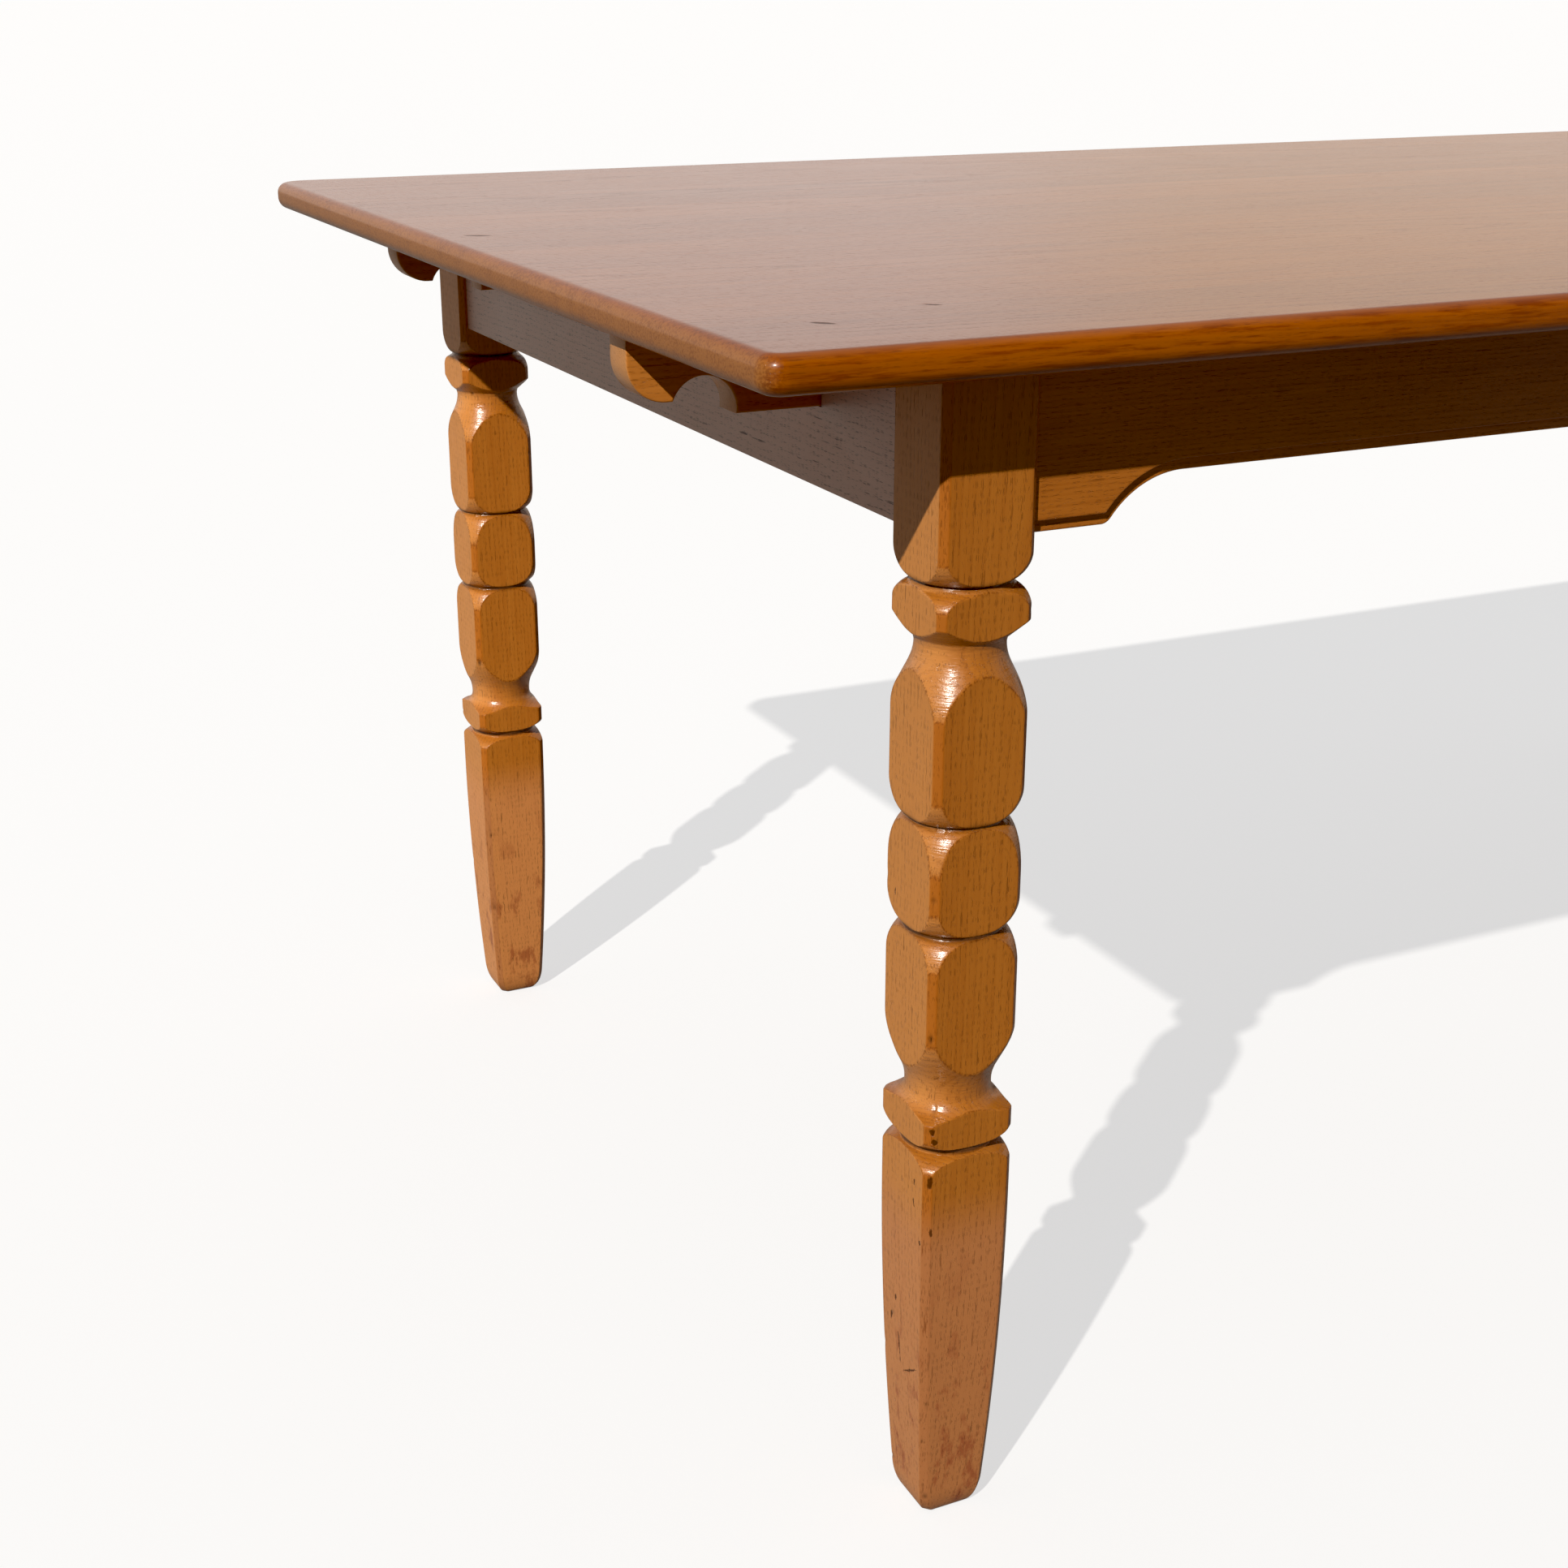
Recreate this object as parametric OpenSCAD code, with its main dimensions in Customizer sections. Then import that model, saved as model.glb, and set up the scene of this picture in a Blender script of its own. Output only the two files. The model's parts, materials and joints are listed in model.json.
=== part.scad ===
// Extending dining table. A top of edge-glued boards rests on four aprons and four square
// legs with turned details. Four lopers slide out of slots in the end aprons, under the
// top, to carry loose leaves. Lengths are millimetres. The origin is on the floor under
// the centre of the top. X runs along the top's length, Y across it, and -Y is the front.

/* [Table] */
// Length of the top
table_l = 1800; // [1600:10:2200]
// Width of the top
table_w = 1000; // [940:10:1200]
// Height of the top's upper face above the floor
table_h = 745; // [700:5:780]

/* [Top] */
// Thickness of the top
top_t = 21; // [20:1:30]
// Number of glued boards across the top
board_count = 9; // [9]
// Radius of the rounded upper edge
edge_r = 8; // [4:1:9]
// Radius of the top's front corners seen from above
corner_r = 14; // [6:1:40]
// Radius of the top's back corners seen from above
back_corner_r = 28; // [10:1:40]
// Radius of the rounded lower edge
under_r = 9; // [3:1:10]

/* [Legs] */
// Side of the square leg
leg_side = 59; // [56:1:64]
// Chamfer along each upright arris
leg_chamfer = 4; // [3:0.5:6]
// Leg axis to the end edge of the top
leg_inset_x = 156; // [140:1:170]
// Leg axis to the long edge of the top
leg_inset_y = 83; // [75:1:100]
// How far each face of the foot curves in at the floor
foot_taper = 8.6; // [5:0.2:11]
// How far the rounding around the sole reaches in from each face
sole_in = 6.5; // [3:0.5:9]
// Height of the rounding around the sole
sole_rise = 19; // [8:1:26]

/* [Turning] */
// Block's lower end, below the aprons
block_drop = 6; // [4:1:20]
// Upper collar's centre, below the block's end
collar_drop = 34; // [32:0.5:36]
// Upper collar's height above its widest line
collar_b = 12; // [11:0.5:13]
// Height of the upright band below the upper collar's widest line
collar_flat = 6.3; // [5:0.1:7]
// Height of the slope from the upper collar's band in to the neck
collar_under = 10.9; // [10:0.1:11.3]
// Upper neck, below the block's end
neck_drop = 54.5; // [53:0.5:58]
// Radius of both necks
neck_r = 25.7; // [22:0.1:28]
// Height of a neck's flare, from the neck to the full section
flare_l = 43.5; // [40:0.5:46]
// Lower end of the upper square section, below the block's end
vase_drop = 134; // [126:1:140]
// Middle bead's upper shoulder, below the block's end
bead_top_drop = 188; // [186:1:192]
// Middle bead's lower shoulder, below the block's end
bead_low_drop = 203; // [200:1:206]
// Upper end of the lower square section, below the block's end
shank_drop = 248; // [244:1:254]
// Lower neck, below the block's end
low_neck_drop = 324.6; // [322:0.2:330]
// Lower collar's upper edge, below the block's end
low_collar_top_drop = 338; // [337:0.5:341]
// Lower collar's lower shoulder, below the block's end
low_collar_end_drop = 349; // [346:0.5:351]
// Height of the hollow between the lower neck and the lower collar
hollow_h = 12; // [9:0.5:12.5]
// Start of the foot's taper, below the block's end
foot_drop = 382; // [380:1:388]

/* [Aprons] */
// Height of the aprons at the legs
apron_h = 96; // [90:1:110]
// Thickness of the aprons
apron_t = 22; // [20:1:26]
// Step back from the leg's face to the apron's face
apron_reveal = 6; // [2:0.5:8]
// Rise of the arch in the long aprons
arch_rise = 26; // [18:1:30]
// Radius of the arch's curved ends
arch_r = 57.5; // [50:0.5:70]
// Distance from the leg to the level part of the arch
arch_margin = 98; // [90:1:160]
// Height of the routed step along the lower edge of the long aprons
step_h = 7; // [4:0.5:7.5]
// Depth of the routed step
step_d = 3.7; // [2:0.1:6]

/* [Lopers] */
// Thickness of a loper
loper_t = 25; // [20:1:28]
// Height of a loper
loper_h = 47.5; // [40:0.5:50]
// Length of a loper
loper_l = 740; // [600:10:740]
// How far a loper pulls out
loper_travel = 420; // [300:10:430]
// Top's end edge to the tip of a closed loper
loper_inset = 40; // [40:1:60]
// How far the left front loper stands pulled out at rest
loper_pulled = 27.5; // [0:0.5:30]
// Leg axis to the side of the nearest loper
loper_offset = 128; // [126:1:180]
// Height of the loper's tip, outside its finger notch
loper_tip_h = 38; // [30:0.5:39.5]
// Radius of the finger notch
notch_r = 20; // [18:0.1:22]

/* [Hidden] */
$fn = 96;

// Places worked out from the driving dimensions
under_top = table_h - top_t;
leg_x = table_l / 2 - leg_inset_x;
leg_y = table_w / 2 - leg_inset_y;
leg_h = leg_side / 2;
apron_z = under_top - apron_h;
apron_out = leg_h - apron_reveal;
apron_in = apron_out - apron_t;
block_z = apron_z - block_drop;
foot_z = block_z - foot_drop;
board_w = table_w / board_count;
CORNERS = [[-1, -1], [1, -1], [-1, 1], [1, 1]];

// Turned profile: the rim clears the square's chamfered corners, and the bead just meets them
rim = leg_side * 0.665;
bead_rim = leg_side * 0.66;
collar_z = block_z - collar_drop;
cove_r = 29;
cove_turn = 25;
swell_r = 41;
hollow_turn = 80;
foot_shoulder = 8.5;

// Lopers and the parts that guide them
slide_gap = 0.5;
slot_side_gap = 1;
loper_top_z = under_top - slide_gap;
loper_z = loper_top_z - loper_h;
loper_y = -leg_y + loper_offset;
tip_round = 24;
notch_x = 46.8;
notch_rise = 3;
notch_z = loper_z + notch_rise;
peg_r = 6;
peg_stub = 10;
peg_l = loper_t + 2 * peg_stub;
peg_back = 20;
peg_x = -table_l / 2 + loper_inset + loper_l - peg_back;
peg_z = loper_top_z - loper_h / 2;
rail_t = 22;
rail_h = 66;
rail_x = peg_x - peg_r - loper_travel - slide_gap - rail_t;
rail_z = under_top - rail_h;
tenon_l = 8;
tenon_h = 44;
tenon_t = 10;

// Corner braces and their hardware, measured from the leg axis along the diagonal
brace_near = 45;
brace_far = 73;
brace_h = 60;
brace_drop = 5;
brace_z = under_top - brace_h - brace_drop;
bolt_r = 4;
bolt_from = -6;
bolt_to = 88;
bolt_edge = 15;
bolt_heights = [brace_z + bolt_edge, brace_z + brace_h - bolt_edge];
bolt_gap = 0.5;
seat_gap = 0.05;
washer_z = brace_far + seat_gap;
washer_t = 2;
washer_r = 10;
washer_bore_r = 4.3;
nut_z = washer_z + washer_t + seat_gap;
nut_t = 6.5;
nut_flats = 13;
brace_screw_r = 2.25;
brace_screw_side = 88;
brace_screw_head = 6;
brace_screw_deep = 14;

// Buttons that hold the top down, and the groove they hook into
button_l = 40;
button_w = 34;
button_t = 16;
button_gap = 1;
tongue_t = 8;
groove_gap = 0.2;
groove_d = 9;
button_screw_r = 2;
button_screw_deep = 14;
screw_head_r = 4;
screw_head_t = 3;
button_spacing_x = 300;
button_spacing_y = 120;

// Points along a quarter or so of an oval that reaches out to the radius reach
function oval(z, reach, a, b, from, to, n = 5) =
    [for (i = [0:n]) let (t = from + (to - from) * i / n)
        [reach - a + a * cos(t), z + b * sin(t)]];

// Points from a neck out to the full section; way is 1 for upwards and -1 for downwards
function flare(z, way) = concat(
    [for (i = [0:3]) let (t = cove_turn * i / 3)
        [neck_r + cove_r * (1 - cos(t)), z + way * cove_r * sin(t)]],
    [for (i = [0:4]) let (t = cove_turn * (1 - i / 4))
        [rim - swell_r * (1 - cos(t)), z + way * (flare_l - swell_r * sin(t))]]);

// Points down a hollow that leaves the neck upright and runs out almost level at the rim
function hollow(z) =
    [for (i = [0:6]) let (t = hollow_turn * i / 6)
        [neck_r + (rim - neck_r) * (1 - cos(t)), z + hollow_h * (1 - sin(t))]];

function reversed(list) = [for (i = [len(list) - 1:-1:0]) list[i]];

// Each oval: middle height, reach, half width, half height, first and last angle
turned_profile = concat(
    [[0, under_top + 1], [rim, under_top + 1]],
    oval(block_z, rim, 16, 19.5, 0, -75),
    oval(collar_z, rim, 12, collar_b, 76, 0),
    [[rim, collar_z - collar_flat], [neck_r + 0.8, collar_z - collar_flat - collar_under]],
    flare(block_z - neck_drop, -1),
    oval(block_z - vase_drop, rim, 14, 23, 0, -78),
    oval(block_z - bead_top_drop, bead_rim, 13, 31, 80, 0),
    oval(block_z - bead_low_drop, bead_rim, 13, 20, 0, -76),
    oval(block_z - shank_drop, rim, 13, 24, 78, 0),
    reversed(flare(block_z - low_neck_drop, 1)),
    hollow(block_z - low_collar_top_drop),
    [[rim, block_z - low_collar_top_drop - 1]],
    oval(block_z - low_collar_end_drop, rim, 15, 9, 0, -76),
    oval(foot_z + foot_shoulder, rim, 22, 12, 62, 0),
    [[rim, -1], [0, -1]]);

// How far a face of the foot has bowed in at the height z
function foot_bow(z) =
    let (bow_r = (foot_z * foot_z + foot_taper * foot_taper) / (2 * foot_taper))
    bow_r - sqrt(bow_r * bow_r - (foot_z - z) * (foot_z - z));

// Right-hand edge of a leg blank, seen from the side: upright down to the foot, one long
// bow inwards, and a quarter oval into the sole. Arrises move in spread times as far as faces.
function leg_edge(half, spread) = concat([[half, under_top]],
    [for (i = [0:8]) let (z = foot_z + (sole_rise - foot_z) * i / 8)
        [half - spread * foot_bow(z), z]],
    [for (i = [1:6]) let (t = 90 * i / 6, z = sole_rise * (1 - sin(t)))
        [half - spread * (foot_bow(z) + sole_in * (1 - cos(t))), z]]);

module leg_outline(half, spread) {
    edge = leg_edge(half, spread);
    polygon(concat(edge, [for (i = [len(edge) - 1:-1:0]) [-edge[i][0], edge[i][1]]]));
}

// The square blank with its arrises taken off, all the way down to the sole
module leg_blank() {
    arris_half = (leg_side - leg_chamfer) / sqrt(2);
    intersection() {
        rotate([90, 0, 0]) linear_extrude(2 * leg_side, center = true) leg_outline(leg_h, 1);
        rotate([90, 0, 90]) linear_extrude(2 * leg_side, center = true) leg_outline(leg_h, 1);
        rotate([90, 0, 45]) linear_extrude(2 * leg_side, center = true)
            leg_outline(arris_half, sqrt(2));
        rotate([90, 0, 135]) linear_extrude(2 * leg_side, center = true)
            leg_outline(arris_half, sqrt(2));
    }
}

// Moves the left front corner's parts to the corner [sx, sy]
module at_corner(corner) {
    mirror([corner[0] > 0 ? 1 : 0, 0, 0]) mirror([0, corner[1] > 0 ? 1 : 0, 0]) children();
}

// Stands its children on a bolt line: along +Z from the leg's axis, towards the room
module on_bolt_lines() {
    for (z = bolt_heights)
        translate([-leg_x, -leg_y, z]) rotate([0, 0, 45]) rotate([0, 90, 0]) children();
}

module bolt_shanks(radius) {
    on_bolt_lines() translate([0, 0, bolt_from]) cylinder(r = radius, h = bolt_to - bolt_from);
}

module leg() {
    color("peru") difference() {
        translate([-leg_x, -leg_y, 0]) intersection() {
            leg_blank();
            rotate_extrude() polygon(turned_profile);
        }
        bolt_shanks(bolt_r);
    }
}

// Flat panel from low to high with one radius for the low corners and one for the high ones
module rounded_panel(width, low, high, low_r, high_r) {
    translate([-width / 2, low + low_r]) square([width, high - high_r - low - low_r]);
    translate([low_r - width / 2, low]) square([width - 2 * low_r, high - high_r - low]);
    translate([high_r - width / 2, low + low_r])
        square([width - 2 * high_r, high - low - low_r]);
    for (side = [-1, 1]) {
        translate([side * (width / 2 - low_r), low + low_r]) circle(low_r);
        translate([side * (width / 2 - high_r), high - high_r]) circle(high_r);
    }
}

// Cross-section of the top, rounded along its upper and its lower edges
module top_section(width) {
    rounded_panel(width, 0, top_t, under_r, edge_r);
}

module top_plan() {
    rounded_panel(table_l, -table_w / 2, table_w / 2, corner_r, back_corner_r);
}

module top_board(number) {
    color(number % 2 == 0 ? "burlywood" : "tan") difference() {
        intersection() {
            translate([0, 0, under_top]) rotate([90, 0, 0])
                linear_extrude(table_w, center = true) top_section(table_l);
            translate([0, 0, under_top]) rotate([90, 0, 90])
                linear_extrude(table_l, center = true) top_section(table_w);
            translate([0, 0, under_top]) linear_extrude(top_t) top_plan();
            translate([-table_l / 2, -table_w / 2 + (number - 1) * board_w, under_top])
                cube([table_l, board_w, top_t]);
        }
        at_buttons() button_screw_shank();
    }
}

// Side view of a long apron. The arch is cut away between two large arcs, and the lower
// corners beside it are rounded. inset moves the whole lower edge up into the wood.
module long_apron_outline(inset) {
    half = leg_x - leg_h;
    arc_x = half - arch_margin;
    arc_z = apron_z + arch_rise - arch_r;
    foot_r = step_h + 1 - inset;
    arc_r = arch_r + inset;
    round_z = apron_z + step_h + 1;
    round_x = arc_x + sqrt(pow(arc_r + foot_r, 2) - pow(round_z - arc_z, 2));
    reach = arc_r / (arc_r + foot_r);
    base_z = apron_z + inset;
    difference() {
        translate([-half, base_z]) square([2 * half, under_top - base_z]);
        translate([-arc_x, base_z - 1]) square([2 * arc_x, arch_rise + 1]);
        for (side = [-1, 1]) {
            translate([side * arc_x, arc_z]) circle(arc_r, $fn = 192);
            difference() {
                polygon([[side * round_x, base_z - 1], [side * round_x, round_z],
                    [side * (arc_x + (round_x - arc_x) * reach),
                        arc_z + (round_z - arc_z) * reach],
                    [side * arc_x, base_z - 1]]);
                translate([side * round_x, round_z]) circle(foot_r);
            }
        }
    }
}

// Groove along the inside of an apron, from one end to the other, for the buttons
module button_groove(length) {
    translate([-length / 2, -groove_d, under_top - button_t - groove_gap])
        cube([length, groove_d + 1, tongue_t + 2 * groove_gap]);
}

module long_apron() {
    color("saddlebrown") difference() {
        union() {
            translate([0, -leg_y - apron_out + step_d, 0]) rotate([90, 0, 0])
                linear_extrude(step_d) long_apron_outline(step_h);
            translate([0, -leg_y - apron_in, 0]) rotate([90, 0, 0])
                linear_extrude(apron_t - step_d) long_apron_outline(0);
        }
        translate([0, -leg_y - apron_in, 0]) button_groove(table_l);
        for (side = [-1, 1]) {
            rail_tenon(side);
            mirror([side > 0 ? 1 : 0, 0, 0]) on_long_screw() screw_shank();
        }
    }
}

module end_apron() {
    color("rosybrown") difference() {
        translate([-leg_x - apron_out, leg_h - leg_y, apron_z])
            cube([apron_t, 2 * (leg_y - leg_h), apron_h]);
        translate([-leg_x - apron_in, 0, 0]) rotate([0, 0, -90]) button_groove(table_w);
        for (side = [-1, 1]) mirror([0, side > 0 ? 1 : 0, 0]) {
            loper_slot(-leg_x - apron_out - 1, apron_t + 2);
            on_end_screw() screw_shank();
        }
    }
}

// Opening for the front loper, cut down from the upper edge of an apron or rail
module loper_slot(from_x, thickness) {
    translate([from_x, loper_y - slot_side_gap, loper_z - slide_gap])
        cube([thickness, loper_t + 2 * slot_side_gap, table_h - loper_z]);
}

// Front tenon of a cross rail; side is -1 for the left rail and 1 for the right one
module rail_tenon(side) {
    x = side > 0 ? -rail_x - rail_t : rail_x;
    translate([x + (rail_t - tenon_t) / 2, -leg_y - apron_in - tenon_l,
        rail_z + (rail_h - tenon_h) / 2])
        cube([tenon_t, tenon_l + 1, tenon_h]);
}

module cross_rail() {
    color("tan") difference() {
        union() {
            translate([rail_x, -leg_y - apron_in, rail_z])
                cube([rail_t, 2 * (leg_y + apron_in), rail_h]);
            for (side = [-1, 1]) mirror([0, side > 0 ? 1 : 0, 0]) rail_tenon(-1);
        }
        for (side = [-1, 1]) mirror([0, side > 0 ? 1 : 0, 0])
            loper_slot(rail_x - 1, rail_t + 2);
    }
}

// Side view of a loper from its tip at x = 0: rounded tip, finger notch, long plain bar
module loper_outline() {
    tip_z = loper_top_z - loper_tip_h;
    difference() {
        union() {
            translate([notch_x, loper_z]) square([loper_l - notch_x, loper_h]);
            translate([0, tip_z]) square([notch_x, loper_tip_h]);
        }
        translate([notch_x, notch_z]) circle(notch_r);
        difference() {
            translate([-1, tip_z - 1]) square(tip_round + 1);
            translate([tip_round, tip_z + tip_round]) circle(tip_round);
        }
    }
}

module loper(pulled) {
    color("sienna") difference() {
        translate([-table_l / 2 + loper_inset - pulled, loper_y + loper_t, 0])
            rotate([90, 0, 0]) linear_extrude(loper_t) loper_outline();
        stop_peg_rod(pulled);
    }
}

module stop_peg_rod(pulled) {
    translate([peg_x - pulled, loper_y + loper_t / 2, peg_z]) rotate([90, 0, 0])
        cylinder(r = peg_r, h = peg_l, center = true);
}

module stop_peg(pulled) {
    color("wheat") stop_peg_rod(pulled);
}

// Block across the inside corner, clear of the leg so that the bolts can draw it up
module brace() {
    near = brace_near * sqrt(2) + apron_in;
    far = brace_far * sqrt(2) + apron_in;
    color("burlywood") difference() {
        translate([-leg_x, -leg_y, brace_z]) linear_extrude(brace_h)
            polygon([[-apron_in, near], [near, -apron_in], [far, -apron_in],
                [-apron_in, far]]);
        bolt_shanks(bolt_r + bolt_gap);
        on_end_screw() screw_shank();
        on_long_screw() screw_shank();
        on_end_screw() screw_pocket();
        on_long_screw() screw_pocket();
    }
}

// Places its children, drawn along +Z, on the screw line into the end apron
module on_end_screw() {
    translate([-leg_x, brace_screw_side - leg_y, brace_z + brace_h / 2])
        rotate([0, 90, 0]) children();
}

// The same for the screw into the long apron
module on_long_screw() {
    translate([brace_screw_side - leg_x, -leg_y, brace_z + brace_h / 2])
        rotate([-90, 0, 0]) children();
}

module screw_shank() {
    translate([0, 0, -apron_in - brace_screw_deep])
        cylinder(r = brace_screw_r, h = apron_in + brace_screw_deep + brace_screw_head);
}

// Counterbore that lets a screw's head in, with room for the screwdriver behind it
module screw_pocket() {
    translate([0, 0, brace_screw_head]) cylinder(r = screw_head_r + 1, h = brace_far);
}

module brace_screw() {
    screw_shank();
    translate([0, 0, brace_screw_head]) cylinder(r = screw_head_r, h = screw_head_t);
}

// Each button stands with its back to an apron and its tongue pointing along -Y
module at_buttons() {
    for (side = [-1, 1]) {
        for (x = [-1:1]) mirror([0, side > 0 ? 1 : 0, 0])
            translate([x * button_spacing_x, -leg_y - apron_in, under_top]) children();
        for (y = [-1, 1]) mirror([side > 0 ? 1 : 0, 0, 0])
            translate([-leg_x - apron_in, y * button_spacing_y, under_top])
                rotate([0, 0, -90]) children();
    }
}

module button() {
    difference() {
        union() {
            translate([-button_l / 2, button_gap, -button_t])
                cube([button_l, button_w, button_t]);
            translate([-button_l / 2, button_gap - groove_d, -button_t])
                cube([button_l, groove_d, tongue_t]);
        }
        button_screw_shank();
        translate([0, button_gap + button_w / 2, -button_t - 1])
            cylinder(r = screw_head_r + 0.5, h = screw_head_t + 1);
    }
}

module button_screw_shank() {
    translate([0, button_gap + button_w / 2, screw_head_t - button_t])
        cylinder(r = button_screw_r, h = button_t - screw_head_t + button_screw_deep);
}

module button_screw() {
    button_screw_shank();
    translate([0, button_gap + button_w / 2, -button_t])
        cylinder(r = screw_head_r, h = screw_head_t);
}

module top_buttons() { color("wheat") at_buttons() button(); }

module button_screws() { color("silver") at_buttons() button_screw(); }

module hanger_bolts() {
    color("silver") for (c = CORNERS) at_corner(c) bolt_shanks(bolt_r);
}

module hanger_washers() {
    color("silver") for (c = CORNERS) at_corner(c) on_bolt_lines()
        translate([0, 0, washer_z]) difference() {
            cylinder(r = washer_r, h = washer_t);
            translate([0, 0, -1]) cylinder(r = washer_bore_r, h = washer_t + 2);
        }
}

module hanger_nuts() {
    color("gray") for (c = CORNERS) at_corner(c) on_bolt_lines()
        translate([0, 0, nut_z]) difference() {
            cylinder(r = nut_flats / sqrt(3), h = nut_t, $fn = 6);
            translate([0, 0, -1]) cylinder(r = bolt_r, h = nut_t + 2);
        }
}

module brace_screws() {
    color("silver") for (c = CORNERS) at_corner(c) {
        on_end_screw() brace_screw();
        on_long_screw() brace_screw();
    }
}

top_board(1);  // top_board_1
top_board(2);  // top_board_2
top_board(3);  // top_board_3
top_board(4);  // top_board_4
top_board(5);  // top_board_5
top_board(6);  // top_board_6
top_board(7);  // top_board_7
top_board(8);  // top_board_8
top_board(9);  // top_board_9
at_corner([-1, -1]) leg();  // leg_front_left
at_corner([1, -1]) leg();  // leg_front_right
at_corner([-1, 1]) leg();  // leg_back_left
at_corner([1, 1]) leg();  // leg_back_right
long_apron();  // apron_front
mirror([0, 1, 0]) long_apron();  // apron_back
end_apron();  // apron_left
mirror([1, 0, 0]) end_apron();  // apron_right
cross_rail();  // cross_rail_left
mirror([1, 0, 0]) cross_rail();  // cross_rail_right
at_corner([-1, -1]) brace();  // brace_front_left
at_corner([1, -1]) brace();  // brace_front_right
at_corner([-1, 1]) brace();  // brace_back_left
at_corner([1, 1]) brace();  // brace_back_right
at_corner([-1, -1]) loper(loper_pulled);  // loper_front_left
at_corner([1, -1]) loper(0);  // loper_front_right
at_corner([-1, 1]) loper(0);  // loper_back_left
at_corner([1, 1]) loper(0);  // loper_back_right
at_corner([-1, -1]) stop_peg(loper_pulled);  // stop_peg_front_left
at_corner([1, -1]) stop_peg(0);  // stop_peg_front_right
at_corner([-1, 1]) stop_peg(0);  // stop_peg_back_left
at_corner([1, 1]) stop_peg(0);  // stop_peg_back_right
hanger_bolts();
hanger_washers();
hanger_nuts();
brace_screws();
top_buttons();
button_screws();
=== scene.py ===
"""Looks of an extending oak dining table: lacquered top, turned legs, aprons and lopers."""

import json
import math

import bmesh
import bpy
import numpy as np
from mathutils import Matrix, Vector


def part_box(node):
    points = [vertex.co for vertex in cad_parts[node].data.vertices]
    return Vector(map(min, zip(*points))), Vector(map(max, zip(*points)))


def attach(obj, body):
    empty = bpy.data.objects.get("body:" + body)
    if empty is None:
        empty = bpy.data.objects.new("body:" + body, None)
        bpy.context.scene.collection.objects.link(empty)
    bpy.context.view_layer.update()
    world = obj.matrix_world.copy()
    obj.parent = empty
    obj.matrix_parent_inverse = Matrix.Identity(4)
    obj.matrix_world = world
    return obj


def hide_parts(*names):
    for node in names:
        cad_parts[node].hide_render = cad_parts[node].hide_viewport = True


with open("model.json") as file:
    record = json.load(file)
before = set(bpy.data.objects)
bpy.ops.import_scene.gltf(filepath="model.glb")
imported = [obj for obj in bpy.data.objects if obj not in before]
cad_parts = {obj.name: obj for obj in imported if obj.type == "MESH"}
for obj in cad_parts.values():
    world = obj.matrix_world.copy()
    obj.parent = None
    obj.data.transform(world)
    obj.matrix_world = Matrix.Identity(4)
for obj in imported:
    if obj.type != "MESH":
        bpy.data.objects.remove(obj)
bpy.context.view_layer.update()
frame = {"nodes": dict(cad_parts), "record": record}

MM = 0.001
BODY_OF = {
    node: body
    for body, nodes in frame["record"]["behaviour"]["bodies"].items()
    for node in nodes
}

# ---------------------------------------------------------------- sizes, in millimetres

# Top: radii of the upper edge, of the front and back corners seen from above, and of the
# lower edge
EDGE_R = 8
CORNER_R = 14
BACK_CORNER_R = 28
UNDER_R = 9
EDGE_STEPS = 10
CORNER_STEPS = 12

# Legs: a square with chamfered arrises, cut by a turned profile. Drops are heights below
# the end of the square block at the top.
LEG_CHAMFER = 4
FOOT_TAPER = 8.6
SOLE_IN = 6.5
SOLE_RISE = 19
BLOCK_DROP = 6
COLLAR_DROP = 34
COLLAR_FLAT = 6.3
COLLAR_UNDER = 10.9
COLLAR_FOOT = 0.8
NECK_DROP = 54.5
NECK_R = 25.7
FLARE_L = 43.5
VASE_DROP = 134
BEAD_TOP_DROP = 188
BEAD_LOW_DROP = 203
SHANK_DROP = 248
LOW_NECK_DROP = 324.6
LOW_COLLAR_TOP_DROP = 338
LOW_COLLAR_END_DROP = 349
HOLLOW_H = 12
HOLLOW_TURN = 80
HOLLOW_STEPS = 12
FOOT_DROP = 382
FOOT_SHOULDER = 8.5
COVE_R = 29
COVE_TURN = 25
SWELL_R = 41
FLARE_STEPS = 6
RIM_SHARE = 0.665
BEAD_SHARE = 0.66

# Ovals of the turned profile: half axes across and up, and the angles at both ends
BLOCK_OVAL = (16, 19.5, 0, -75)
COLLAR_OVAL = (12, 12, 76, 0)
VASE_OVAL = (14, 23, 0, -78)
BEAD_TOP_OVAL = (13, 31, 80, 0)
BEAD_LOW_OVAL = (13, 20, 0, -76)
SHANK_OVAL = (13, 24, 78, 0)
LOW_COLLAR_OVAL = (15, 9, 0, -76)
FOOT_OVAL = (22, 12, 62, 0)

# Legs: mesh rows and columns, marks of use, painted shade in grooves, how much lighter one leg
# is
FACE_STEPS = 26
ARRIS_STEPS = 6
TURNED_ROWS = 13
BLOCK_ROWS = 36
SOLE_ROWS = 11
FLAT_ROW = 2.6
ROW_GAP = 0.002
WEAR_WAVES = 7
DENT_COUNT = 34
GROOVE_SHADE_WIDTH = 1.8
BACK_LEFT_LIGHT = 1.2

# Long aprons: an arch between two arcs, a routed step along it, and the edges' rounding
ARCH_RISE = 26
ARCH_R = 57.5
ARCH_MARGIN = 98
ARCH_STEPS = 16
ARCH_FOOT_STEPS = 6
STEP_H = 7
STEP_D = 3.7
APRON_EASE = 0.7

# Lopers: the tip's height and corner, the finger notch, and the rounding of the edges
TIP_H = 38
TIP_ROUND = 24
TIP_STEPS = 12
NOTCH_X = 46.8
NOTCH_R = 20
NOTCH_STEPS = 28
NOTCH_RISE = 3
LOPER_EASE = 1.0


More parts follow.
